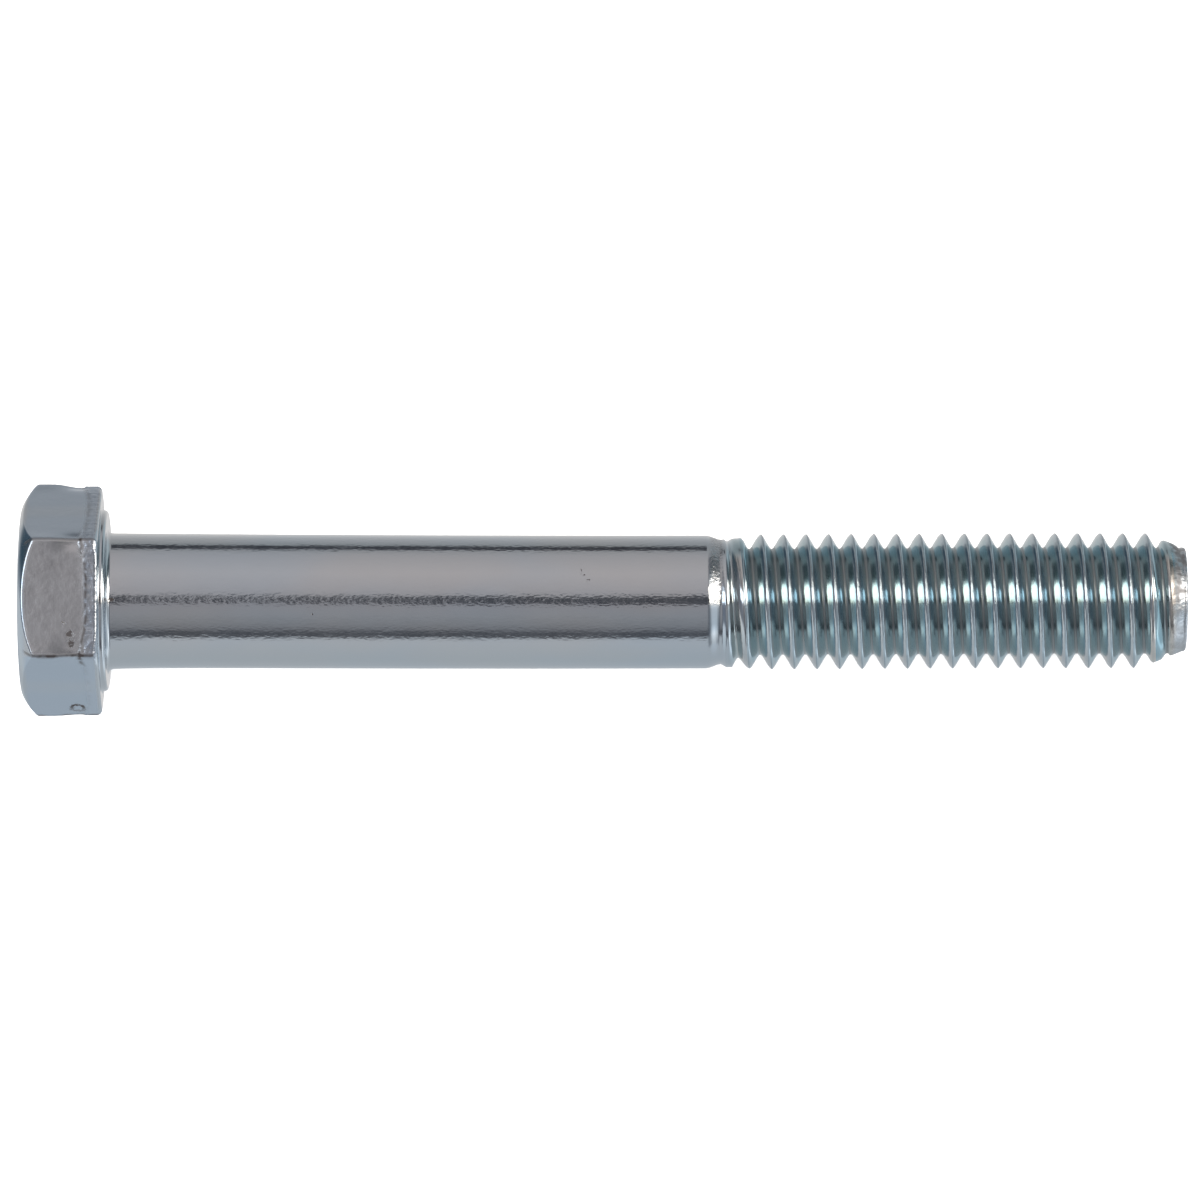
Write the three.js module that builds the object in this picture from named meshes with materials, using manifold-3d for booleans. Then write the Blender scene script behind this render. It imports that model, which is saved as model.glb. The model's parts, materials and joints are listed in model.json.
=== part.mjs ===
// Hex head cap screw, 3/8-16 UNC by 3 in, partly threaded.
// It is cold headed and thread rolled from one steel wire blank, so it is one solid piece.
// Millimetres. The axis runs along +X from the middle of the head's top face to the point.
// Two flats of the head face +Z and -Z, and two of its corners point to +Y and -Y.
import * as THREE from 'three';
import { mergeVertices } from 'three/addons/utils/BufferGeometryUtils.js';
import Module from 'manifold-3d';

const MM_PER_INCH = 25.4;
const TURN = 2 * Math.PI;

// Head
const ACROSS_FLATS = 14.27;
const HEX_CORNER_RADIUS = 0.3;
const HEX_DEPTH = 5.63; // top face to the underside of the hexagon
const HEAD_HEIGHT = 6.04; // top face to the bearing plane of the washer face
const TOP_FLAT_RADIUS = 6.5;
const CROWN_RADIUS = 4.6; // the top's chamfer is a little domed, and grows steeper outwards
const CROWN_ANGLES = [20, 50].map(THREE.MathUtils.degToRad);
const CROWN_STEPS = 5;
const WASHER_FACE_RADIUS = 6.36;
const WASHER_RIM_EASING = 0.16;

// Plain body
const BODY_RADIUS = 4.69;
const HEAD_FILLET = 0.38;
const BODY_END = 47.96;

// Rolled thread, right handed
const PITCH = MM_PER_INCH / 16;
const CREST_RADIUS = 4.7;
const ROOT_RADIUS = 3.72;
const CREST_SHARE = 0.18; // width of the crest's land, as a share of the pitch
const ROOT_SHARE = 0.28;
const CREST_AT = 51.82; // place of one crest along the axis, on the +Y side
const BLANK_RADIUS = 4.33; // the wire blank that the thread is rolled on
const BLANK_FROM = 49.16; // the body's taper ends here and the thread's run-out begins
const FULL_THREAD_FROM = 51.4;

// Point
const LENGTH = 81.7;
const POINT_RADIUS = 3.55;
const POINT_ANGLE = THREE.MathUtils.degToRad(22);
const POINT_EASING = 0.28;

const SEGMENTS = 24; // steps around the axis
const CORNER_STEPS = 3; // steps around each rounded corner

const zinc = new THREE.MeshStandardMaterial({
  color: 0xb4b8bd,
  roughness: 0.32,
  metalness: 1.0,
});

const point = (radius, along) => new THREE.Vector2(radius, along);
const mix = THREE.MathUtils.lerp;

// A lathe turns its outline about Y. Here Y becomes X, and the first segment lies on the +Y side,
// the next ones going on towards +Z.
function layAlongX(geometry) {
  const place = geometry.attributes.position;
  for (let i = 0; i < place.count; i += 1) {
    place.setXYZ(i, place.getY(i), place.getZ(i), place.getX(i));
  }
  return geometry;
}

// The hexagon with its rounded corners, the first of them on the drawing's X axis.
function hexagonOutline() {
  const outline = new THREE.Shape();
  const cornerCentre = (ACROSS_FLATS / 2 - HEX_CORNER_RADIUS) / Math.cos(TURN / 12);
  for (let corner = 0; corner < 6; corner += 1) {
    const towards = (corner * TURN) / 6;
    outline.absarc(
      cornerCentre * Math.cos(towards),
      cornerCentre * Math.sin(towards),
      HEX_CORNER_RADIUS,
      towards - TURN / 12,
      towards + TURN / 12,
      false,
    );
  }
  outline.closePath();
  return outline;
}

function hexagonPrism() {
  const prism = new THREE.ExtrudeGeometry(hexagonOutline(), {
    depth: HEX_DEPTH,
    bevelEnabled: false,
    curveSegments: CORNER_STEPS,
  });
  const place = prism.attributes.position;
  for (let i = 0; i < place.count; i += 1) {
    place.setXYZ(i, place.getZ(i), place.getX(i), place.getY(i));
  }
  return prism;
}

// The round crown that trims the top corners of the hexagon.
function topCrown() {
  const [start, end] = CROWN_ANGLES;
  const crown = [];
  for (let step = 0; step <= CROWN_STEPS; step += 1) {
    const lean = mix(start, end, step / CROWN_STEPS);
    crown.push(point(
      TOP_FLAT_RADIUS + CROWN_RADIUS * (Math.sin(lean) - Math.sin(start)),
      CROWN_RADIUS * (Math.cos(start) - Math.cos(lean)),
    ));
  }
  const widest = crown.at(-1).x;
  return layAlongX(new THREE.LatheGeometry([
    point(0, 0),
    ...crown,
    point(widest, HEAD_HEIGHT),
    point(0, HEAD_HEIGHT),
  ], SEGMENTS * 2));
}

// The round bearing face under the hexagon, started inside the head.
function washerFace() {
  return layAlongX(new THREE.LatheGeometry([
    point(0, HEX_DEPTH / 2),
    point(WASHER_FACE_RADIUS, HEX_DEPTH / 2),
    point(WASHER_FACE_RADIUS, HEAD_HEIGHT - WASHER_RIM_EASING),
    point(WASHER_FACE_RADIUS - WASHER_RIM_EASING, HEAD_HEIGHT),
    point(0, HEAD_HEIGHT),
  ], SEGMENTS * 2));
}

// Radius of the thread at a place along the axis, and at so many turns from the +Y side.
function threadRadius(along, turns) {
  const cycle = (((along - CREST_AT) / PITCH - turns) % 1 + 1) % 1;
  const fromCrest = Math.min(cycle, 1 - cycle) * 2;
  const depth = (fromCrest - CREST_SHARE) / (1 - CREST_SHARE - ROOT_SHARE);
  const thread = mix(CREST_RADIUS, ROOT_RADIUS, THREE.MathUtils.clamp(depth, 0, 1));
  const taper = THREE.MathUtils.clamp((along - BODY_END) / (BLANK_FROM - BODY_END), 0, 1);
  const rolled = THREE.MathUtils.clamp((along - BLANK_FROM) / (FULL_THREAD_FROM - BLANK_FROM), 0, 1);
  const cone = POINT_RADIUS + (LENGTH - along) * Math.tan(POINT_ANGLE);
  return Math.min(mix(mix(BODY_RADIUS, BLANK_RADIUS, taper), thread, rolled), cone);
}

// The body and the thread. The rows of the thread follow its helix, and each row's last point
// meets the first point of the next turn. The helix is cut square at the body and at the point.
function shank() {
  const headEnd = [
    point(0, HEX_DEPTH),
    point(BODY_RADIUS + HEAD_FILLET, HEX_DEPTH),
    point(BODY_RADIUS + HEAD_FILLET, HEAD_HEIGHT),
    point(BODY_RADIUS + HEAD_FILLET * 0.3, HEAD_HEIGHT + HEAD_FILLET * 0.3),
    point(BODY_RADIUS, HEAD_HEIGHT + HEAD_FILLET),
  ];
  const edges = [CREST_SHARE / 2, (1 - ROOT_SHARE) / 2, (1 + ROOT_SHARE) / 2, 1 - CREST_SHARE / 2];
  const firstTurn = Math.floor((BODY_END - CREST_AT) / PITCH) - 2;
  const lastTurn = Math.ceil((LENGTH - CREST_AT) / PITCH) + 1;
  const helix = [];
  for (let turn = firstTurn; turn <= lastTurn; turn += 1) {
    helix.push(...edges.map((edge) => CREST_AT + (turn + edge) * PITCH));
  }
  const pointEnd = [
    point(POINT_RADIUS - POINT_EASING, LENGTH),
    point(0, LENGTH),
  ];
  const outline = [...headEnd, ...helix.map((along) => point(BODY_RADIUS, along)), ...pointEnd];
  const lathe = layAlongX(new THREE.LatheGeometry(outline, SEGMENTS));

  const place = lathe.attributes.position;
  for (let segment = 0; segment <= SEGMENTS; segment += 1) {
    const turns = segment / SEGMENTS;
    const [y, z] = [Math.cos(turns * TURN), Math.sin(turns * TURN)];
    for (let row = 0; row < helix.length; row += 1) {
      const along = THREE.MathUtils.clamp(helix[row] + turns * PITCH, BODY_END, LENGTH - POINT_EASING);
      const radius = threadRadius(along, turns);
      place.setXYZ(segment * outline.length + headEnd.length + row, along, radius * y, radius * z);
    }
  }
  return lathe;
}

const wasm = await Module();
wasm.setup();

// The shared points are merged, and the triangles that this leaves without area are left out.
function asSolid(geometry) {
  geometry.deleteAttribute('normal');
  geometry.deleteAttribute('uv');
  const merged = mergeVertices(geometry);
  const triangles = [];
  for (let i = 0; i < merged.index.count; i += 3) {
    const corners = [0, 1, 2].map((corner) => merged.index.getX(i + corner));
    if (new Set(corners).size === 3) {
      triangles.push(...corners);
    }
  }
  return new wasm.Manifold(new wasm.Mesh({
    numProp: 3,
    vertProperties: merged.attributes.position.array,
    triVerts: new Uint32Array(triangles),
  }));
}

function asGeometry(solid) {
  const mesh = solid.getMesh();
  const geometry = new THREE.BufferGeometry();
  geometry.setAttribute('position', new THREE.BufferAttribute(mesh.vertProperties, 3));
  geometry.setIndex(new THREE.BufferAttribute(mesh.triVerts, 1));
  return geometry;
}

const head = asSolid(hexagonPrism()).intersect(asSolid(topCrown()));
const bolt = head.add(asSolid(washerFace())).add(asSolid(shank()));

const hexBolt = new THREE.Mesh(asGeometry(bolt), zinc);
hexBolt.name = 'hex_bolt';

const part = new THREE.Group();
part.add(hexBolt);

export default part;
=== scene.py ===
"""A zinc plated hex cap screw lying on its side on a pale table, seen from straight above."""

import json
import math

import bpy
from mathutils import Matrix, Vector, noise


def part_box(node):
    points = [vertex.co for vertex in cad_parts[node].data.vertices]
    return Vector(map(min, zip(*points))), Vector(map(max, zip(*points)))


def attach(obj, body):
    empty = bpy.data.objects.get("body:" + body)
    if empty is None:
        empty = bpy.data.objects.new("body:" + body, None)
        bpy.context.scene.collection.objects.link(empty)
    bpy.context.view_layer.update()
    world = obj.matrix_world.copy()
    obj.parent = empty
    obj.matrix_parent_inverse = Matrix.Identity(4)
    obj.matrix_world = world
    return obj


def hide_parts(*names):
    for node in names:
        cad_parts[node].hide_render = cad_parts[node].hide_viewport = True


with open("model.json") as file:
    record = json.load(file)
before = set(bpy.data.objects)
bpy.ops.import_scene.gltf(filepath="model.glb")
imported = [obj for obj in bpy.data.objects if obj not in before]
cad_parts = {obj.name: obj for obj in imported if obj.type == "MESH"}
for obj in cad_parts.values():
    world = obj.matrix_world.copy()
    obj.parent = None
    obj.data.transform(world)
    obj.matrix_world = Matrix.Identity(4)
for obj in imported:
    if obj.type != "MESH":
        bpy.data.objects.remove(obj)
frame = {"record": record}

MM = 0.001
TURN = 2 * math.pi
CAD_NODE = "hex_bolt"

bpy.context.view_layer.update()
mounts = {mount["name"]: mount for mount in frame["record"]["mounts"]}

# Sizes of the bolt in millimetres. The axis is +X, and x = 0 is the head's top face.
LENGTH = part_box(CAD_NODE)[1].x / MM
ACROSS_FLATS = 2 * mounts["upper_wrench_flat"]["pos_m"][2] / MM
BEARING_PLANE = mounts["bearing_face"]["pos_m"][0] / MM

TOP_RADIUS = 6.5
CROWN_RADIUS = 4.6
CROWN_START = math.radians(20)
HEX_CORNER = 0.3
CORNER_REACH = 8.1
HEX_UNDERSIDE = 5.63
WASHER_RADIUS = 6.36
BODY_RADIUS = 4.672
FILLET = 0.38
BODY_END = 47.96
BOW = 0.1  # the long body is bent this much sideways in its middle
BOW_FROM, BOW_LENGTH = 8, 62

PITCH = 25.4 / 16
CREST_RADIUS = 4.74
ROOT_RADIUS = 3.72
CREST_PLACE = 51.82
BLANK_RADIUS = 4.35
BLANK_FROM = 49.2
FULL_ROOT_FROM = 51.1
FULL_CREST_FROM = 51.9
FIRST_CREST_RADIUS = 4.53

POINT_RADIUS = 3.55
POINT_ANGLE = math.radians(22)
POINT_OFF_CENTRE = 0.09
POINT_EDGE = 81.42

SECTOR_STEPS = 64  # steps of the head's outline in a sixth of a turn, arc and flat together
CORNER_STEPS = 8
HEAD_STEPS = 6 * SECTOR_STEPS
SHANK_STEPS = HEAD_STEPS // 2
ROWS_A_PITCH = 12


# ---------------------------------------------------------------- arithmetic by nodes

class Field:
    """A number on every point, worked out by Math nodes and written as ordinary arithmetic."""

    def __init__(self, tree, socket):
        self.tree, self.socket = tree, socket

    def maths(self, operation, *others):
        node = self.tree.nodes.new("ShaderNodeMath")
        node.operation = operation
        feed(self.tree, node.inputs[0], self)
        for place, other in enumerate(others, 1):
            feed(self.tree, node.inputs[place], other)
        return Field(self.tree, node.outputs[0])

    def __add__(self, other):
        return self.maths("ADD", other)

    def __sub__(self, other):
        return self.maths("SUBTRACT", other)

    def __rsub__(self, other):
        return (self * -1.0) + other

    def __mul__(self, other):
        return self.maths("MULTIPLY", other)

    def __truediv__(self, other):
        return self.maths("DIVIDE", other)

    __radd__ = __add__
    __rmul__ = __mul__

    def at_least(self, other):
        return self.maths("MAXIMUM", other)

    def at_most(self, other):
        return self.maths("MINIMUM", other)

    def abs(self):
        return self.maths("ABSOLUTE")

    def sin(self):
        return self.maths("SINE")

    def cos(self):
        return self.maths("COSINE")

    def ramp(self, low, high, to_low=0.0, to_high=1.0):
        """Rises smoothly from to_low at low to to_high at high, and is level outside them."""
        node = self.tree.nodes.new("ShaderNodeMapRange")
        node.interpolation_type = "SMOOTHSTEP"
        for name, value in (("Value", self), ("From Min", low), ("From Max", high),
                            ("To Min", to_low), ("To Max", to_high)):
            feed(self.tree, node.inputs[name], value)
        return Field(self.tree, node.outputs["Result"])

    def towards(self, other, share):
        """This number at share 0 and the other one at share 1."""
        return self + (other - self) * share


def feed(tree, socket, value):
    """Links a node's output to a socket, or sets the socket to a plain value."""
    if isinstance(value, Field):
        tree.links.new(value.socket, socket)
    elif isinstance(value, bpy.types.NodeSocket):
        tree.links.new(value, socket)
    else:
        socket.default_value = value


def place_node(tree, kind, settings=None, **inputs):
    """A new node with its settings and its inputs; underscores in an input's name are spaces."""
    node = tree.nodes.new(kind)
    for name, value in (settings or {}).items():
        setattr(node, name, value)
    for name, value in inputs.items():
        feed(tree, node.inputs[name.replace("_", " ")], value)
    return node


# ---------------------------------------------------------------- the forged head and plain body

def smooth(low, high, value):
    share = min(max((value - low) / (high - low), 0.0), 1.0)
    return share * share * (3 - 2 * share)


def grain(x, y, z, size):
    """Smooth noise from about -1 to 1 with features of this size."""
    return noise.noise(Vector((x, y, z)) / size)


def hexagon_outline():
    """The rounded hexagon as (y, z, distance along the flat from the corner, corner) points.
    The first point is the middle of a flat, and the first corner after it points to +Y."""
    centre = (ACROSS_FLATS / 2 - HEX_CORNER) / math.cos(TURN / 12)
    half_flat = centre * math.sin(TURN / 12)
    flat_steps = (SECTOR_STEPS - CORNER_STEPS) // 2
    points = []

    def on_flat(corner, side, along):
        normal = corner * TURN / 6 + side * TURN / 12
        across = side * (along - half_flat)
        y = ACROSS_FLATS / 2 * math.cos(normal) - across * math.sin(normal)
        z = ACROSS_FLATS / 2 * math.sin(normal) + across * math.cos(normal)
        points.append((y, z, along, corner))

    for corner in range(6):
        towards = corner * TURN / 6
        for step in range(flat_steps):
            on_flat(corner, -1, half_flat * (1 - step / flat_steps))
        for step in range(CORNER_STEPS):
            turn = towards + TURN / 12 * (2 * step / CORNER_STEPS - 1)
            y = centre * math.cos(towards) + HEX_CORNER * math.cos(turn)
            z = centre * math.sin(towards) + HEX_CORNER * math.sin(turn)
            points.append((y, z, 0.0, corner))
        for step in range(flat_steps):
            on_flat(corner, 1, half_flat * step / flat_steps)
    return points


# How forging left each corner of the hexagon, starting at +Y: how far it is drawn in at its waist
# low on the head, and how far short it falls of a full corner.
CORNER_WAISTS = (0.25, 0.12, 0.14, 0.10, 0.2, 0.16)
CORNER_SHORTFALLS = (0.006, 0.02, 0.03, 0.085, 0.02, 0.05)
TOP_EASE = 0.2
EDGE_EASE = 0.13


def by_corner(away, width):
    return math.exp(-((away / width) ** 2))


def torn_line(y, z, away):
    """Where along the axis the trimming die started to tear the wall."""
    waver = 0.05 * grain(0, y, z, 0.9) + 0.04 * grain(7, y, z, 0.3)
    return 4.76 - 0.45 * by_corner(away, 1.3) + waver


def tearing(y):
    """How badly the trimming die tore the wall: the faces towards -Y came out nearly clean."""
    return 0.12 + 0.88 * smooth(-5.2, -4.2, y)


def wall_relief(x, y, z, away, corner):
    """How far the hexagon's wall stands out at a point. It is drawn in towards a waist near the
    corners, and below the torn line that trimming left it stands out again and is rough."""
    near = by_corner(away, 0.6)
    band = smooth(-0.03, 0.17, x - torn_line(y, z, away))
    waist = CORNER_WAISTS[corner] * near * smooth(2.2, 4.1, x)
    rough = (0.020 * grain(x, y, z, 0.34) + 0.012 * grain(x, y + 9, z, 0.16)) * tearing(y)
    plain = 0.003 * grain(x, y, z, 1.6) - 0.05 * (1 - near) - CORNER_SHORTFALLS[corner] * near
    return plain - waist * (1 - 0.35 * band) + band * (0.012 + rough)


def torn_grime(x, y, z, away):
    """Dark specks along the torn line, 0 to 1."""
    across = math.exp(-(((x - torn_line(y, z, away) - 0.07) / 0.17) ** 2))
    specks = smooth(-0.6, -0.1, grain(3, y, z, 0.5)) * smooth(-0.5, 0.0, grain(x, y, z + 5, 0.26))
    return across * specks * tearing(y) * (1 - 0.6 * smooth(3.9, 4.2, y))


def radial(y, z, radius, x):
    reach = math.hypot(y, z)
    return Vector((x, y / reach * radius, z / reach * radius))


def outward(y, z):
    return Vector((0, y, z)).normalized()


def crown(radius):
    """Place along the axis, and slope, of the domed chamfer at this radius."""
    lean = math.asin(math.sin(CROWN_START) + (radius - TOP_RADIUS) / CROWN_RADIUS)
    return CROWN_RADIUS * (math.cos(CROWN_START) - math.cos(lean)), math.tan(lean)


def chamfer_end(y, z):
    """Where the chamfer, carried on straight past its easing, meets the wall."""
    radius = math.hypot(y, z) - EDGE_EASE
    x, slope = crown(radius)
    return x + EDGE_EASE * slope


def on_top(y, z, lean):
    """The top face's edge, eased into the chamfer, for a lean from -1 to 1."""
    rise = crown(TOP_RADIUS + TOP_EASE)[0] * ((lean + 1) / 2) ** 2
    return radial(y, z, TOP_RADIUS + TOP_EASE * lean, rise)


def on_chamfer(y, z, away, corner, share):
    inner, outer = TOP_RADIUS + TOP_EASE, math.hypot(y, z) - EDGE_EASE
    radius = inner + (outer - inner) * share
    shift = share * wall_relief(1, y, z, away, corner)
    return radial(y, z, radius + shift, crown(radius)[0])


def chamfer_edge(y, z, away, corner, share):
    """The eased edge between chamfer and wall, as a parabola that touches both."""
    reach, end = math.hypot(y, z), chamfer_end(y, z)
    start = crown(reach - EDGE_EASE)[0]
    a, b, c = (1 - share) ** 2, 2 * share * (1 - share), share**2
    shift = wall_relief(1, y, z, away, corner)
    radius = a * (reach - EDGE_EASE) + (b + c) * reach + shift
    return radial(y, z, radius, a * start + b * end + c * (end + EDGE_EASE))


def under_radius(away):
    return 0.2 + 0.2 * by_corner(away, 0.8)


def wall_place(y, z, away, share):
    start = chamfer_end(y, z) + EDGE_EASE
    return start + (HEX_UNDERSIDE - under_radius(away) - start) * share


def wall(y, z, away, corner, share):
    x = wall_place(y, z, away, share)
    return Vector((x, y, z)) + outward(y, z) * wall_relief(x, y, z, away, corner)


def under_edge(y, z, away, corner, angle):
    radius = under_radius(away)
    inwards = outward(y, z) * radius * (math.cos(angle) - 1)
    return wall(y, z, away, corner, 1.0) + inwards + Vector((radius * math.sin(angle), 0, 0))


def underside(y, z, away, corner, share):
    edge = under_edge(y, z, away, corner, TURN / 4)
    return edge.lerp(radial(y, z, WASHER_RADIUS + 0.1, HEX_UNDERSIDE), share)


def head_rows(outline):
    """Rings of points from near the middle of the top face to the bearing plane, each with the
    outline's own number of points, so that neighbouring rings join one to one."""
    rows = []
    for share in (0.12, 0.3, 0.5, 0.7, 0.84, 0.93):
        rows.append([radial(y, z, TOP_RADIUS * share, 0.0) for y, z, *_ in outline])
    for lean in (-1.0, -0.5, 0.0, 0.5, 1.0):
        rows.append([on_top(y, z, lean) for y, z, *_ in outline])
    for share in (0.16, 0.34, 0.55, 0.75, 0.9, 1.0):
        rows.append([on_chamfer(*place, share) for place in outline])
    for step in range(1, 6):
        rows.append([chamfer_edge(*place, step / 5) for place in outline])
    wall_shares = [0.04, 0.1, 0.18, 0.28, 0.4] + [0.5 + 0.5 * step / 33 for step in range(34)]
    for share in wall_shares:
        rows.append([wall(*place, share) for place in outline])
    for step in range(1, 7):
        rows.append([under_edge(*place, step / 6 * TURN / 4) for place in outline])
    for share in (0.15, 0.4, 0.7, 0.92):
        rows.append([underside(*place, share) for place in outline])
    for x, radius in washer_profile():
        rows.append([radial(y, z, radius, x) for y, z, *_ in outline])
    return rows


def washer_profile():
    """The round washer face under the hexagon, from its root to the start of the fillet."""
    rim = 0.25
    profile = [(HEX_UNDERSIDE + 0.03, WASHER_RADIUS + 0.02), (HEX_UNDERSIDE + 0.07, WASHER_RADIUS)]
    for step in range(6):
        angle = step / 5 * TURN / 4
        profile.append((BEARING_PLANE - rim + rim * math.sin(angle),
                        WASHER_RADIUS - rim + rim * math.cos(angle)))
    inner = BODY_RADIUS + FILLET + 0.2
    for share in (0.1, 0.5, 0.92):
        profile.append((BEARING_PLANE, WASHER_RADIUS - rim + (inner + rim - WASHER_RADIUS) * share))
    return profile


def body_radius(x, angle):
    """The body narrows a little along its length, and swells where it leaves the head."""
    narrowing = 0.045 * (1 - (x - BEARING_PLANE) / (BODY_END - BEARING_PLANE))
    swelling = 0.06 * (1 - 0.7 * math.cos(angle)) * math.exp(-(x - BEARING_PLANE) / 2.2)
    return BODY_RADIUS + narrowing + swelling


def body_rows():
    """Places along the fillet and the body as (x, how far outside the body's radius)."""
    rows = []
    for step in range(7):
        angle = step / 6 * TURN / 4
        rows.append((BEARING_PLANE + FILLET * (1 - math.cos(angle)), FILLET * (1 - math.sin(angle))))
    start, near, steps = BEARING_PLANE + FILLET, (0.3, 0.7, 1.2, 1.8, 2.5, 3.3), 28
    rows.extend((start + along, 0.0) for along in near)
    start += near[-1]
    rows.extend((start + (BODY_END - start) * (step + 1) / steps, 0.0) for step in range(steps))
    return rows


def forged_blank():
    """One open mesh of the head and the plain body. The thread is rolled on by nodes."""
    outline = hexagon_outline()
    rows = head_rows(outline)
    points = [Vector((0, 0, 0))]
    faces = []
    for row in rows:
        points.extend(row)
    first = [1 + HEAD_STEPS * number for number in range(len(rows))]
    for step in range(HEAD_STEPS):
        after = (step + 1) % HEAD_STEPS
        faces.append((0, first[0] + step, first[0] + after))
        for here, below in zip(first, first[1:]):
            faces.append((here + step, below + step, below + after, here + after))

    # the body has half as many points around it
    body = body_rows()
    start = len(points)
    for x, outside in body:
        for step in range(SHANK_STEPS):
            angle = TURN * step / SHANK_STEPS
            radius = body_radius(x, angle) + outside
            points.append(Vector((x, radius * math.cos(angle), radius * math.sin(angle))))
    quarter = SECTOR_STEPS // 2  # the outline starts half a sector before +Y
    for step in range(SHANK_STEPS):
        after = (step + 1) % SHANK_STEPS
        wide = [first[-1] + (2 * step + ahead + quarter) % HEAD_STEPS for ahead in range(3)]
        faces.append((wide[0], start + step, wide[1]))
        faces.append((wide[1], start + step, start + after))
        faces.append((wide[1], start + after, wide[2]))
        for number in range(len(body) - 1):
            here = start + number * SHANK_STEPS
            below = here + SHANK_STEPS
            faces.append((here + step, below + step, below + after, here + after))

    mesh = bpy.data.meshes.new("forged_blank")
    mesh.from_pydata([point * MM for point in points], [], faces)
    grime = mesh.attributes.new("grime", "FLOAT", "POINT")
    for number, point in enumerate(points[1:first[-1]]):
        if 3.5 < point.x < HEX_UNDERSIDE and math.hypot(point.y, point.z) > ACROSS_FLATS / 2 - 0.3:
            y, z, away, _ = outline[number % HEAD_STEPS]
            grime.data[number + 1].value = torn_grime(point.x, y, z, away)
    mesh.update()
    return mesh


# ---------------------------------------------------------------- the rolled thread

def number_inputs(tree, names):
    for name in names:
        tree.interface.new_socket(name, in_out="INPUT", socket_type="NodeSocketFloat")


THREAD_SIZES = {
    "Pitch": PITCH * MM,
    "Crest radius": CREST_RADIUS * MM,
    "Root radius": ROOT_RADIUS * MM,
    "Crest place": CREST_PLACE * MM,
    "Body radius": BODY_RADIUS * MM,
    "Body end": BODY_END * MM,
    "Blank radius": BLANK_RADIUS * MM,
    "Blank from": BLANK_FROM * MM,
    "First crest radius": FIRST_CREST_RADIUS * MM,
    "Full root from": FULL_ROOT_FROM * MM,
    "Full crest from": FULL_CREST_FROM * MM,
    "Length": LENGTH * MM,
    "Point radius": POINT_RADIUS * MM,
    "Point slope": math.tan(POINT_ANGLE),
    "Point off centre": POINT_OFF_CENTRE * MM,
    "Point edge": POINT_EDGE * MM,
}


def thread_radius_group():
    """Radius of the rolled thread at a place along the axis and a share of a turn. The 60 degree
    form has a rounded root, and a crest that is more worn on the side towards the head. Over the
    run-out the rolls bite less and less deep, and the crest isn't raised to its full height."""
    tree = bpy.data.node_groups.new("thread_radius", "GeometryNodeTree")
    number_inputs(tree, ["Along", "Turn", *THREAD_SIZES])
    tree.interface.new_socket("Radius", in_out="OUTPUT", socket_type="NodeSocketFloat")
    given = tree.nodes.new("NodeGroupInput")
    size = {name: Field(tree, given.outputs[name]) for name in ("Along", "Turn", *THREAD_SIZES)}
    along, turn, pitch = size["Along"], size["Turn"], size["Pitch"]
    aside = (turn * TURN).cos()

    bite = along.ramp(size["Blank from"] - pitch * 0.12, size["Full root from"])
    root = size["Blank radius"].towards(size["Root radius"], bite)
    first = size["Blank radius"].towards(
        size["First crest radius"] - aside * pitch * 0.04,
        along.ramp(size["Blank from"] - pitch * 0.2, size["Blank from"] + pitch * 0.2))
    crest = first.towards(size["Crest radius"],
                          along.ramp(size["Blank from"] + pitch * 0.5, size["Full crest from"]))

    cycle = ((along - size["Crest place"]) / pitch - turn).maths("FRACT")
    from_root = (cycle - 0.5).abs()
    sharp_height = pitch * (math.sqrt(3) / 2)
    sharp_root = size["Crest radius"] + sharp_height * (1 / 8 - 1) + (root - size["Root radius"])
    flank = sharp_root + from_root * sharp_height * 2
    wear = cycle.ramp(0.35, 0.65, 0.08, 0.28)
    topped = flank.maths("SMOOTH_MIN", crest, pitch * wear)
    form = topped.maths("SMOOTH_MAX", root, pitch * 0.09)

    taper = along.ramp(size["Body end"], size["Blank from"])
    blank = size["Body radius"].towards(size["Blank radius"], taper)
    threaded = along.ramp(size["Blank from"] - pitch * 0.2, size["Blank from"] + pitch * 0.1)
    shank = blank.towards(form, threaded)

    cone = size["Point radius"] + (size["Length"] - along) * size["Point slope"]
    leaning = cone + aside * size["Point off centre"]
    radius = shank.maths("SMOOTH_MIN", leaning, pitch * 0.05)

    given_back = tree.nodes.new("NodeGroupOutput")
    feed(tree, given_back.inputs["Radius"], radius)
    return tree


def around_axis(tree, along, turn, radius):
    """The point at this radius and turn, a full turn going from +Y by +Z."""
    return place_node(tree, "ShaderNodeCombineXYZ", X=along,
                      Y=radius * (turn * TURN).cos(), Z=radius * (turn * TURN).sin()).outputs[0]


def sheet_of_rows(tree, rows):
    """A flat grid whose u runs over the rows and whose v runs once around the bolt."""
    grid = place_node(tree, "GeometryNodeMeshGrid", Vertices_X=rows, Vertices_Y=SHANK_STEPS + 1)
    kept = tree.nodes.new("GeometryNodeStoreNamedAttribute")
    kept.data_type, kept.domain = "FLOAT_VECTOR", "POINT"
    kept.inputs["Name"].default_value = "sheet"
    tree.links.new(grid.outputs["Mesh"], kept.inputs["Geometry"])
    tree.links.new(grid.outputs["UV Map"], kept.inputs["Value"])
    read = tree.nodes.new("GeometryNodeInputNamedAttribute")
    read.data_type = "FLOAT_VECTOR"
    read.inputs["Name"].default_value = "sheet"
    parts = place_node(tree, "ShaderNodeSeparateXYZ", Vector=read.outputs["Attribute"])
    return kept.outputs["Geometry"], Field(tree, parts.outputs["X"]), Field(tree, parts.outputs["Y"])


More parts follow.
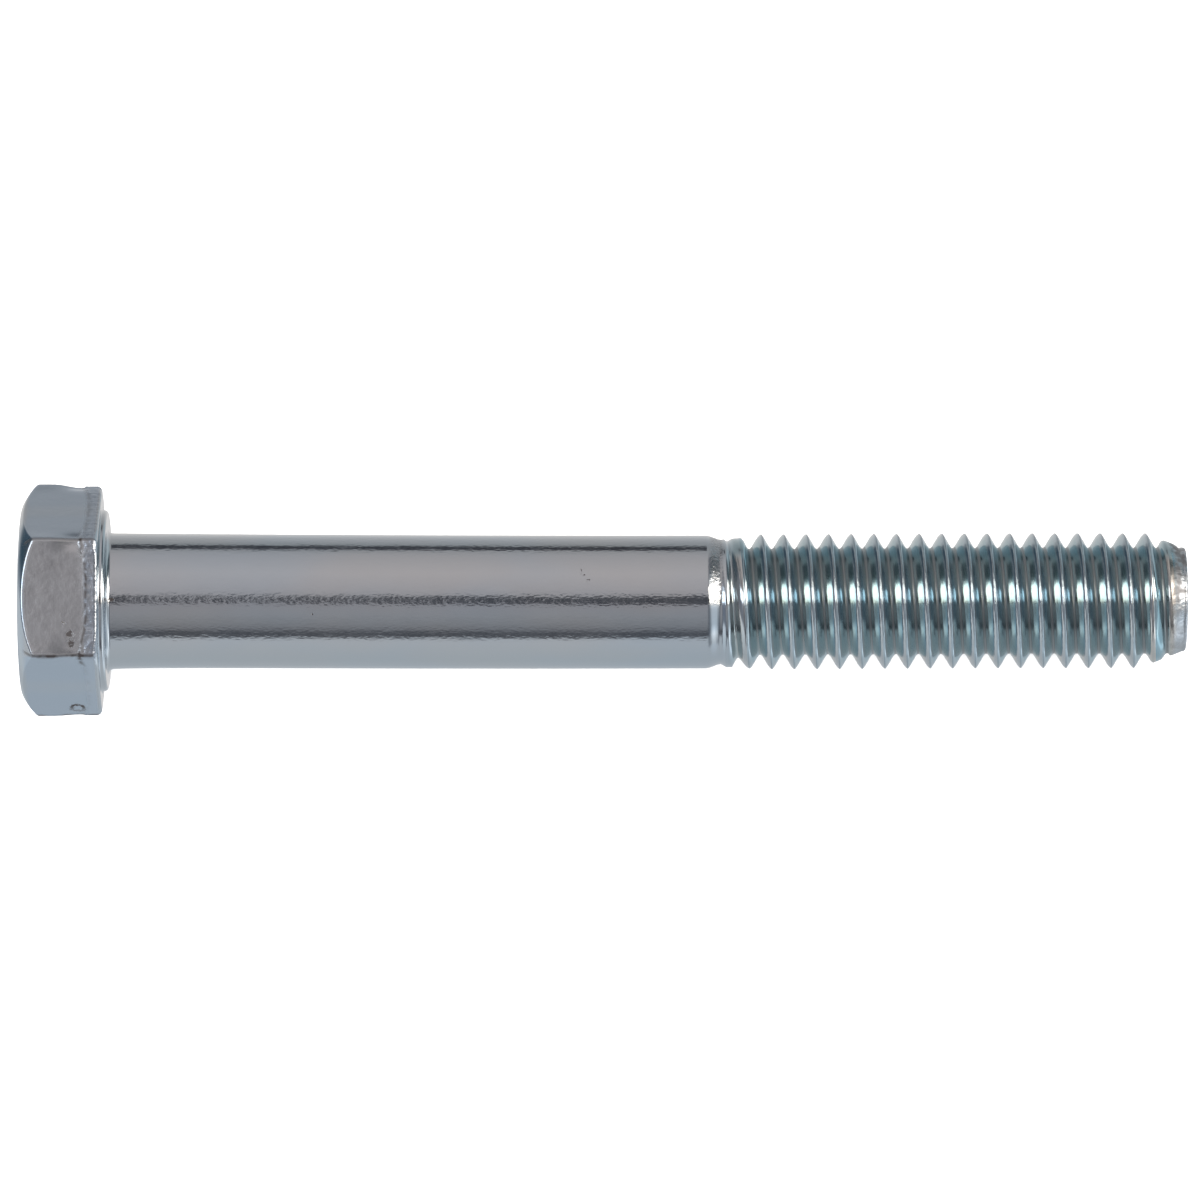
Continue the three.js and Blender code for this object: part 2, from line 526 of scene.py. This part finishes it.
def rolled(tree, radius_group, size, geometry, along, turn, shape=None):
    """The sheet wrapped around the axis. shape may move each ring and change its radius."""
    ask = tree.nodes.new("GeometryNodeGroup")
    ask.node_tree = radius_group
    feed(tree, ask.inputs["Along"], along)
    feed(tree, ask.inputs["Turn"], turn)
    for name, value in size.items():
        feed(tree, ask.inputs[name], value)
    radius = Field(tree, ask.outputs["Radius"])
    if shape:
        along, radius = shape(radius)
    move = place_node(tree, "GeometryNodeSetPosition", Geometry=geometry,
                      Position=around_axis(tree, along, turn, radius))
    return move.outputs["Geometry"]


def thread_tree(material):
    """Rolls the thread and the point on the open end of the forged blank."""
    tree = bpy.data.node_groups.new("rolled_thread", "GeometryNodeTree")
    tree.is_modifier = True
    tree.interface.new_socket("Geometry", in_out="INPUT", socket_type="NodeSocketGeometry")
    number_inputs(tree, THREAD_SIZES)
    tree.interface.new_socket("Geometry", in_out="OUTPUT", socket_type="NodeSocketGeometry")
    given = tree.nodes.new("NodeGroupInput")
    size = {name: Field(tree, given.outputs[name]) for name in THREAD_SIZES}
    radius_group = thread_radius_group()

    # The rows follow the helix, closer together on the crests and in the roots than on the flanks.
    # They start and end past the thread, where they all fall on one ring and are merged.
    first_turn = math.floor((BODY_END - CREST_PLACE) / PITCH) - 1
    turns = math.ceil((POINT_EDGE - CREST_PLACE) / PITCH) - first_turn
    geometry, u, turn = sheet_of_rows(tree, turns * ROWS_A_PITCH + 1)
    wound = u * turns
    crowded = wound - (wound * (2 * TURN)).sin() * (0.6 / (2 * TURN))
    free = size["Crest place"] + (crowded + turn + first_turn) * size["Pitch"]
    along = free.at_least(size["Body end"]).at_most(size["Point edge"])
    thread = rolled(tree, radius_group, size, geometry, along, turn)

    # The point's end: an eased rim, then the slightly domed face where the wire was cut.
    geometry, u, turn = sheet_of_rows(tree, 17)
    rim_share, easing = 0.4, 0.14 * MM
    angle = (u / rim_share).at_most(1.0) * (TURN / 4)
    inwards = ((u - rim_share) / (1 - rim_share)).at_least(0.0)

    def point_end(radius):
        rise = angle.sin() * 0.86 + inwards.ramp(0.0, 0.55) * 0.14
        rim = radius - (1.0 - angle.cos()) * easing
        return size["Point edge"] + (size["Length"] - size["Point edge"]) * rise, rim * (1.0 - inwards)

    end = rolled(tree, radius_group, size, geometry, size["Point edge"], turn, point_end)

    joined = tree.nodes.new("GeometryNodeJoinGeometry")
    for piece in (given.outputs["Geometry"], thread, end):
        tree.links.new(piece, joined.inputs[0])
    merged = place_node(tree, "GeometryNodeMergeByDistance",
                        Geometry=joined.outputs[0], Distance=0.002 * MM)
    real = place_node(tree, "GeometryNodeRealizeInstances", Geometry=merged.outputs["Geometry"])
    finished = place_node(tree, "GeometryNodeSetMaterial",
                          Geometry=real.outputs["Geometry"], Material=material)
    result = tree.nodes.new("NodeGroupOutput")
    tree.links.new(finished.outputs["Geometry"], result.inputs["Geometry"])
    return tree


def rolled_bolt(material):
    """The finished closed mesh of the bolt, its modifier applied."""
    made = bpy.data.objects.new("blank", forged_blank())
    bpy.context.scene.collection.objects.link(made)
    modifier = made.modifiers.new("rolled_thread", "NODES")
    tree = thread_tree(material)
    modifier.node_group = tree
    for item in tree.interface.items_tree:
        if item.in_out == "INPUT" and item.name in THREAD_SIZES:
            modifier[item.identifier] = THREAD_SIZES[item.name]
    view = bpy.context.evaluated_depsgraph_get()
    mesh = bpy.data.meshes.new_from_object(made.evaluated_get(view), depsgraph=view)
    bpy.data.objects.remove(made)
    mesh.name = "hex_cap_screw"
    mesh.attributes.remove(mesh.attributes["sheet"])
    for vertex in mesh.vertices:
        share = min(max((vertex.co.x / MM - BOW_FROM) / BOW_LENGTH, 0), 1)
        vertex.co.y -= BOW * MM * math.sin(math.pi * share)
    mesh.shade_smooth()
    bolt = bpy.data.objects.new("hex_cap_screw", mesh)
    bpy.context.scene.collection.objects.link(bolt)
    return bolt


# ---------------------------------------------------------------- finishes

def mix_colours(tree, share, first, second):
    node = tree.nodes.new("ShaderNodeMix")
    node.data_type = "RGBA"
    for socket, value in zip((node.inputs[0], node.inputs[6], node.inputs[7]), (share, first, second)):
        feed(tree, socket, (*value, 1) if isinstance(value, tuple) else value)
    return node.outputs[2]


def cloud(tree, place, size, stretch=(1, 1, 1), detail=2.0):
    """Noise about 0 with features of this size in millimetres, drawn out by stretch."""
    mapping = place_node(tree, "ShaderNodeMapping", Vector=place)
    mapping.inputs["Scale"].default_value = [1 / (size * factor) for factor in stretch]
    node = place_node(tree, "ShaderNodeTexNoise", Vector=mapping.outputs[0], Detail=detail, Scale=1.0)
    return Field(tree, node.outputs["Fac"]) - 0.5


def distance_from(tree, place, centre):
    away = place_node(tree, "ShaderNodeVectorMath", {"operation": "DISTANCE"})
    feed(tree, away.inputs[0], place)
    away.inputs[1].default_value = centre
    return Field(tree, away.outputs["Value"])


# Marks in millimetres: the centre and the radius of each nick, and the centre of a ring-shaped dent.
NICKS = (
    ((3.74, -2.53, 7.1), 0.25), ((3.79, -3.12, 7.1), 0.26), ((3.35, -1.75, 7.1), 0.1),
    ((39.3, 2.0, 4.24), 0.09), ((39.45, 1.7, 4.37), 0.1), ((39.75, 1.3, 4.5), 0.09),
    ((6.5, -0.1, 4.75), 0.16), ((20.6, -1.1, 4.56), 0.08),
)
RING_DENT = (3.96, -7.6, 1.09)
RING_RADIUS = 0.45

ZINC, BLUER_ZINC = (0.51, 0.55, 0.585), (0.475, 0.545, 0.61)
# The two flat tones differ by which way each flat faces: painted reflection.
FLAT_ZINC, UPPER_FLAT_REFLECTION_TONE = (0.45, 0.525, 0.61), (0.51, 0.53, 0.555)
# The thread's teal and warm tints are partly the passivate's own colour and partly painted reflection.
GROOVE_TEAL_FILM_AND_REFLECTION, CREST_WARM_FILM_AND_REFLECTION, STREAK_GREY = (0.30, 0.48, 0.56), (0.57, 0.56, 0.53), (0.36, 0.42, 0.46)
# The grime colour also serves the painted shade.
TORN_GREY, GRIME_AND_SHADE = (0.28, 0.32, 0.38), (0.10, 0.09, 0.09)


class Surface:
    """The places that the finish depends on: coordinates in millimetres on the bolt, and for
    each zone a number that is 1 in it and 0 outside it."""

    def __init__(self, tree):
        seen = tree.nodes.new("ShaderNodeTexCoord")
        scaled = place_node(tree, "ShaderNodeVectorMath", {"operation": "SCALE"}, Scale=1 / MM)
        tree.links.new(seen.outputs["Object"], scaled.inputs[0])
        self.tree, self.place = tree, scaled.outputs[0]
        parts = place_node(tree, "ShaderNodeSeparateXYZ", Vector=self.place)
        x, y, z = (Field(tree, parts.outputs[axis]) for axis in "XYZ")
        radius = (y * y + z * z).maths("SQRT")
        turn = z.maths("ARCTAN2", y) / TURN
        self.x, self.y, self.z, self.radius, self.turn = x, y, z, radius, turn

        self.head = x.ramp(5.9, 6.2, 1.0, 0.0)
        self.wall = x.ramp(0.3, 0.7) * x.ramp(5.3, 5.5, 1.0, 0.0) * radius.ramp(6.8, 7.0)
        self.torn_band = x.ramp(4.55, 4.85) * x.ramp(5.45, 5.6, 1.0, 0.0) * radius.ramp(6.8, 7.0)
        self.body = x.ramp(6.1, 6.6) * x.ramp(47.9, 48.2, 1.0, 0.0)
        self.taper = x.ramp(48.1, 48.5) * x.ramp(49.0, 49.3, 1.0, 0.0) * y.ramp(-0.8, 0.4)
        self.thread = x.ramp(49.2, 50.2) * x.ramp(80.5, 81.0, 1.0, 0.0)
        self.sheared = x.ramp(80.3, 80.9)
        self.cycle = ((x - CREST_PLACE) / PITCH - turn).maths("FRACT")
        crests = (self.cycle - 0.035).abs().ramp(0.0, 0.03, 1.0, 0.0)
        self.seam = crests * self.thread * radius.ramp(4.3, 4.5)

    def cloud(self, size, stretch=(1, 1, 1), detail=2.0):
        return cloud(self.tree, self.place, size, stretch, detail)


def marks_and_shade(on):
    """How dark the surface is with grime, nicks, stains and painted shade, 0 to 1, and how deep it is
    dented.
    """
    tree, place = on.tree, on.place
    grime = Field(tree, place_node(tree, "ShaderNodeAttribute",
                                   {"attribute_name": "grime"}).outputs["Fac"])
    dark = grime * 0.9
    dents = grime * 0.004

    # Nicks have ragged edges: the noise that shakes them is 0.5 on average.
    shake = 0.6
    ragged = place_node(tree, "ShaderNodeTexNoise", Vector=place, Scale=5.0)
    shaken = place_node(tree, "ShaderNodeVectorMath", {"operation": "MULTIPLY_ADD"})
    tree.links.new(ragged.outputs["Color"], shaken.inputs[0])
    shaken.inputs[1].default_value = (shake, shake, shake)
    tree.links.new(place, shaken.inputs[2])
    for centre, size in NICKS:
        moved = [along + shake / 2 for along in centre]
        nick = distance_from(tree, shaken.outputs[0], moved).ramp(size * 0.75, size * 1.25, 1.0, 0.0)
        dark = dark + nick * 0.95
        dents = dents + nick * 0.006
    moved = [along + shake / 2 for along in RING_DENT]
    off_ring = (distance_from(tree, shaken.outputs[0], moved) - RING_RADIUS).abs()
    ring = off_ring.ramp(0.03, 0.17, 1.0, 0.0)
    dents = dents + ring * 0.04
    # The ring dent is darkened as a mark, and further on its +Z arc as painted shade in the dent.
    dark = dark + ring * on.z.ramp(0.8, 1.3, 0.45, 1.0)

    # Painted shade: a dark line runs along each corner of the hexagon's wall.
    from_corner = (((on.turn * 6 + 0.5).maths("FRACT") - 0.5) * (TURN / 6) * CORNER_REACH).abs()
    painted_corner_shade = from_corner.ramp(0.04, 0.2, 1.0, 0.0) * on.wall * 0.6
    scuffs = on.cloud(0.9).ramp(-0.05, 0.12) * from_corner.ramp(0.1, 0.4, 1.0, 0.0)
    scuffs = scuffs * on.wall * on.y.ramp(-4.4, -3.6, 1.0, 0.0) * 0.6
    # Painted shade: the bottom of the thread's grooves is darkened.
    painted_root_shade = on.thread * on.radius.ramp(3.74, 3.84, 0.55, 0.0)
    dark = dark + on.seam * 0.3 + painted_corner_shade + scuffs + painted_root_shade

    # Rust on the sheared point, spread wide and darker towards +Y, which also paints shade over the
    # point's highlight.
    rust_and_shade = on.cloud(0.8).ramp(-0.15, 0.12) * on.x.ramp(80.2, 80.7) * on.y.ramp(-1.5, 0.2, 0.35, 1.0)
    speckles = on.cloud(0.22).ramp(0.02, 0.12) * on.taper
    # Painted shade: the whole taper is darkened to dim its highlight; the speckles on it are its own
    # marks.
    stains_and_shade = rust_and_shade * on.radius.ramp(3.25, 3.4) * 0.75 + speckles * 0.2 + on.taper * 0.28
    return (dark + stains_and_shade).at_most(1.0), dents


def zinc_colour(on, dark):
    tree = on.tree
    patches = on.cloud(5.0, (2.5, 1, 1)).ramp(-0.2, 0.2)
    colour = mix_colours(tree, patches, BLUER_ZINC, ZINC)
    # Painted reflection, partly the passivate's own colour: the thread is tinted teal on the flanks
    # facing the point and on the +Y side, and warm on the flanks facing the head, most in the grooves.
    side = on.cycle.ramp(0.25, 0.75) * on.y.ramp(2.6, 3.4, 1.0, 0.3)
    thread_film_and_reflection_tints = mix_colours(tree, side, GROOVE_TEAL_FILM_AND_REFLECTION, CREST_WARM_FILM_AND_REFLECTION)
    colour = mix_colours(tree, on.thread * on.radius.ramp(4.35, 4.6, 1.0, 0.35), colour, thread_film_and_reflection_tints)
    streaks = on.cloud(0.35, (0.35, 3, 3)).ramp(-0.25, 0.25, 0.0, 0.22) * on.thread
    colour = mix_colours(tree, streaks, colour, STREAK_GREY)
    # Painted reflection: the flats facing up and down get a greyer zinc than the four sloping flats,
    # which stay bluish.
    upper_flat = on.wall * on.y.abs().ramp(3.9, 4.2, 1.0, 0.0)
    colour = mix_colours(tree, on.wall * on.radius.ramp(6.9, 7.2), colour, FLAT_ZINC)
    colour = mix_colours(tree, upper_flat, colour, UPPER_FLAT_REFLECTION_TONE)
    torn = on.torn_band * on.y.ramp(-4.4, -4.0) * (on.cloud(0.5) + 0.75)
    colour = mix_colours(tree, torn * on.y.ramp(3.9, 4.3, 1.0, 0.4), colour, TORN_GREY)
    # The dark marks are grime, nicks, rust and stains, and also painted shade: in the thread's roots,
    # along the hexagon's corners, in the ring dent, over the taper and over the point.
    return mix_colours(tree, dark, colour, GRIME_AND_SHADE)


def relief_of(on, dents):
    """How far the fine relief of each zone stands out, in millimetres."""
    drawn = on.cloud(0.16, (2, 1, 1), 1.0) * 0.008 + on.cloud(0.4, (3, 1, 1)) * 0.008
    mottled = on.cloud(0.5) * 0.008 + on.cloud(1.6) * 0.012
    trimmed = on.cloud(0.3) * 0.03 + on.cloud(0.5, (3, 0.4, 0.4)) * 0.03
    trimmed = trimmed * on.y.ramp(-5.2, -4.2, 0.15, 1.0)
    sparkle = on.cloud(0.2, detail=3.0) * 0.04
    rolled_lines = on.cloud(0.12, (0.6, 4, 4)) * 0.006
    cut = on.cloud(0.28, (1.5, 1, 1), 3.0) * 0.05
    return (drawn * on.body + mottled * on.wall + trimmed * on.torn_band + sparkle * on.taper
            + rolled_lines * on.thread + cut * on.sheared - dents - on.seam * 0.02)


def bright_zinc():
    """Clear zinc plate with a bluish passivate over drawn, trimmed and rolled steel, with painted
    shade and painted reflection tints in its colour.
    """
    material = bpy.data.materials.new("clear_zinc_plate")
    material.use_nodes = True
    tree = material.node_tree
    shader = tree.nodes["Principled BSDF"]
    shader.inputs["Metallic"].default_value = 1.0
    on = Surface(tree)
    dark, dents = marks_and_shade(on)
    feed(tree, shader.inputs["Base Color"], zinc_colour(on, dark))

    unevenness = on.cloud(1.4) * 0.08
    roughness = (0.15 - on.body * 0.025 + on.head * 0.01 + on.wall * 0.06
                 + on.torn_band * 0.08 + on.sheared * 0.12 + unevenness)
    feed(tree, shader.inputs["Roughness"], roughness + dark * 0.3)

    bump = place_node(tree, "ShaderNodeBump", Height=relief_of(on, dents), Distance=MM, Strength=1.0)
    tree.links.new(bump.outputs["Normal"], shader.inputs["Normal"])
    return material


# ---------------------------------------------------------------- table, light and camera

def table_top():
    """A wide pale table. The bolt rests on it with a flat of the head and its last full thread
    crest, so beside the bolt's own axis the table slopes a little."""
    rest_x, rest_z = HEX_UNDERSIDE, -ACROSS_FLATS / 2
    last_crest_x = LENGTH - 2.8
    slope = (-CREST_RADIUS - rest_z) / (last_crest_x - rest_x)
    gap, reach = 0.02, 4000.0
    corners = []
    for x, y in ((-reach, -reach), (reach, -reach), (reach, reach), (-reach, reach)):
        corners.append(Vector((x, y, rest_z + (x - rest_x) * slope - gap)) * MM)
    mesh = bpy.data.meshes.new("table_top")
    mesh.from_pydata(corners, [], [(0, 1, 2, 3)])
    table = bpy.data.objects.new("table_top", mesh)
    bpy.context.scene.collection.objects.link(table)
    paper = bpy.data.materials.new("white_paper")
    paper.use_nodes = True
    shader = paper.node_tree.nodes["Principled BSDF"]
    shader.inputs["Base Color"].default_value = (0.9, 0.9, 0.9, 1)
    shader.inputs["Roughness"].default_value = 0.9
    shader.inputs["Specular IOR Level"].default_value = 0.1
    mesh.materials.append(paper)
    table.visible_glossy = False
    return table


def bands_of_light(tree, roll, degrees_and_light):
    """Light by how far around the bolt it comes from: 0 degrees is overhead, 90 is from +Y."""
    bands = tree.nodes.new("ShaderNodeValToRGB")
    feed(tree, bands.inputs["Fac"], roll)
    ramp = bands.color_ramp
    while len(ramp.elements) < len(degrees_and_light):
        ramp.elements.new(0.5)
    for element, (degrees, light) in zip(ramp.elements, degrees_and_light):
        element.position = degrees / 360 + 0.5
        element.color = (*light, 1)
    return bands.outputs["Color"]


OVER_THE_BODY = (
    (-180, (0.56, 0.59, 0.62)), (-120, (0.60, 0.63, 0.65)), (-70, (0.66, 0.66, 0.67)),
    (-65, (0.09, 0.09, 0.10)), (-58, (0.09, 0.09, 0.10)), (-52, (0.22, 0.21, 0.22)),
    (-45, (0.31, 0.295, 0.30)), (-25, (0.40, 0.38, 0.385)), (-3, (0.42, 0.38, 0.385)),
    (5, (0.50, 0.455, 0.45)), (25, (0.60, 0.54, 0.53)), (48, (0.67, 0.60, 0.58)),
    (85, (0.56, 0.52, 0.515)), (97, (0.475, 0.455, 0.45)), (113, (0.43, 0.425, 0.42)),
    (130, (0.55, 0.535, 0.53)), (150, (0.72, 0.70, 0.685)), (180, (0.80, 0.78, 0.77)),
)
BY_THE_HEAD = (
    (-180, (0.80, 0.80, 0.80)), (-140, (0.66, 0.70, 0.73)), (-92, (0.80, 0.84, 0.86)),
    (-72, (0.95, 0.97, 1.0)), (-58, (0.80, 0.82, 0.86)), (-50, (0.22, 0.24, 0.28)),
    (-10, (0.20, 0.22, 0.27)), (50, (0.20, 0.22, 0.26)), (70, (0.06, 0.09, 0.12)),
    (163, (0.05, 0.09, 0.12)), (170, (0.30, 0.34, 0.38)), (176, (0.80, 0.80, 0.80)),
)
BY_THE_POINT = (
    (-180, (0.60, 0.64, 0.66)), (-95, (0.75, 0.78, 0.82)), (-86, (1.15, 1.15, 1.15)),
    (-68, (1.15, 1.15, 1.15)), (-58, (0.70, 0.74, 0.78)), (-48, (0.46, 0.49, 0.52)),
    (-15, (0.44, 0.46, 0.48)), (-5, (0.9, 0.9, 0.9)), (3, (1.9, 1.85, 1.8)),
    (38, (1.9, 1.85, 1.8)), (50, (0.40, 0.44, 0.46)), (60, (0.08, 0.11, 0.12)),
    (92, (0.08, 0.11, 0.12)), (104, (0.50, 0.58, 0.60)), (160, (0.60, 0.64, 0.66)),
)


def long_gap(roll, degrees, dark_to, clear_from):
    """1 in a gap along the bolt, this many degrees around it and up to so many to either side."""
    off = (roll - 0.5 - degrees / 360).abs()
    return off.ramp(dark_to / 360, clear_from / 360, 1.0, 0.0)


def studio():
    """The soft tent around the table. Long panels run beside the bolt, with dark gaps between
    them, and its two ends are different: a bright panel beyond the point and a dim one beyond
    the head. Only the bolt's reflections show its panels; the table sees an even white light."""
    world = bpy.data.worlds.new("studio")
    bpy.context.scene.world = world
    world.use_nodes = True
    tree = world.node_tree
    tree.nodes.clear()
    seen = tree.nodes.new("ShaderNodeTexCoord")
    parts = place_node(tree, "ShaderNodeSeparateXYZ", Vector=seen.outputs["Generated"])
    x, y, z = (Field(tree, parts.outputs[axis]) for axis in "XYZ")
    roll = y.maths("ARCTAN2", z) / TURN + 0.5
    middle = bands_of_light(tree, roll, OVER_THE_BODY)
    head_end = bands_of_light(tree, roll, BY_THE_HEAD)
    point_end = bands_of_light(tree, roll, BY_THE_POINT)
    end = mix_colours(tree, x.ramp(-0.1, 0.1), head_end, point_end)
    above = z.ramp(-0.1, 0.1)
    at_an_end = x.ramp(0.34, 0.52) + x.ramp(-0.68, -0.5, 1.0, 0.0)
    tent = mix_colours(tree, at_an_end, middle, end)

    # gaps between the panels, and one brighter panel low beyond the point
    cross_gap = x.abs().ramp(0.24, 0.36) * x.abs().ramp(0.45, 0.6, 1.0, 0.0) * above
    tent = mix_colours(tree, cross_gap * 0.7, tent, (0.10, 0.11, 0.13))
    overhead_gap = long_gap(roll, 1, 5.5, 8.5) * x.ramp(-0.052, -0.032) * above
    low_gap = long_gap(roll, 105, 4, 8) * x.abs().ramp(0.1, 0.18, 1.0, 0.0)
    tent = mix_colours(tree, (overhead_gap + low_gap) * 0.97, tent, (0.04, 0.04, 0.05))
    low_panel = x.ramp(0.56, 0.64) * x.ramp(0.70, 0.74, 1.0, 0.0) * y.ramp(-0.06, 0.0, 0.7, 0.0)

    rays = tree.nodes.new("ShaderNodeLightPath")
    plain = place_node(tree, "ShaderNodeBackground", Color=(1, 1, 1, 1), Strength=2.4)
    shaped = place_node(tree, "ShaderNodeBackground", Color=tent, Strength=low_panel + 1.0)
    either = tree.nodes.new("ShaderNodeMixShader")
    tree.links.new(rays.outputs["Is Glossy Ray"], either.inputs[0])
    tree.links.new(plain.outputs[0], either.inputs[1])
    tree.links.new(shaped.outputs[0], either.inputs[2])
    out = tree.nodes.new("ShaderNodeOutputWorld")
    tree.links.new(either.outputs[0], out.inputs["Surface"])


def soft_box(name, place, size, power, colour):
    light = bpy.data.lights.new(name, "AREA")
    light.shape = "RECTANGLE"
    light.size, light.size_y = size
    light.energy = power
    light.color = colour
    lamp = bpy.data.objects.new(name, light)
    bpy.context.scene.collection.objects.link(lamp)
    lamp.location = place
    middle = Vector((LENGTH / 2, 0, 0)) * MM
    lamp.rotation_euler = (middle - lamp.location).to_track_quat("-Z", "Y").to_euler()
    lamp.visible_camera = False


def overhead_camera():
    distance, half_view = 0.65, 42.144 * MM
    elevation = math.radians(88.29)
    data = bpy.data.cameras.new("overhead")
    data.sensor_width = 36
    data.lens = data.sensor_width / 2 * distance / half_view
    data.clip_start, data.clip_end = 0.01, 20
    camera = bpy.data.objects.new("overhead", data)
    bpy.context.scene.collection.objects.link(camera)
    back = Vector((0, -math.cos(elevation), math.sin(elevation)))
    camera.location = Vector((40.57, 0.046, 0)) * MM + back * distance
    camera.rotation_euler = (-back).to_track_quat("-Z", "Y").to_euler()
    bpy.context.scene.camera = camera


bolt = rolled_bolt(bright_zinc())
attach(bolt, "root")
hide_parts(CAD_NODE)

table_top()
studio()
soft_box("soft_box_by_the_head", (-0.235, 0.07, 0.42), (0.18, 0.24), 0.42, (0.85, 0.93, 1.0))
soft_box("soft_box_by_the_point", (0.40, 0.128, 0.335), (0.26, 0.40), 1.5, (1.0, 0.86, 0.72))
overhead_camera()
bpy.context.scene.view_settings.view_transform = "Standard"
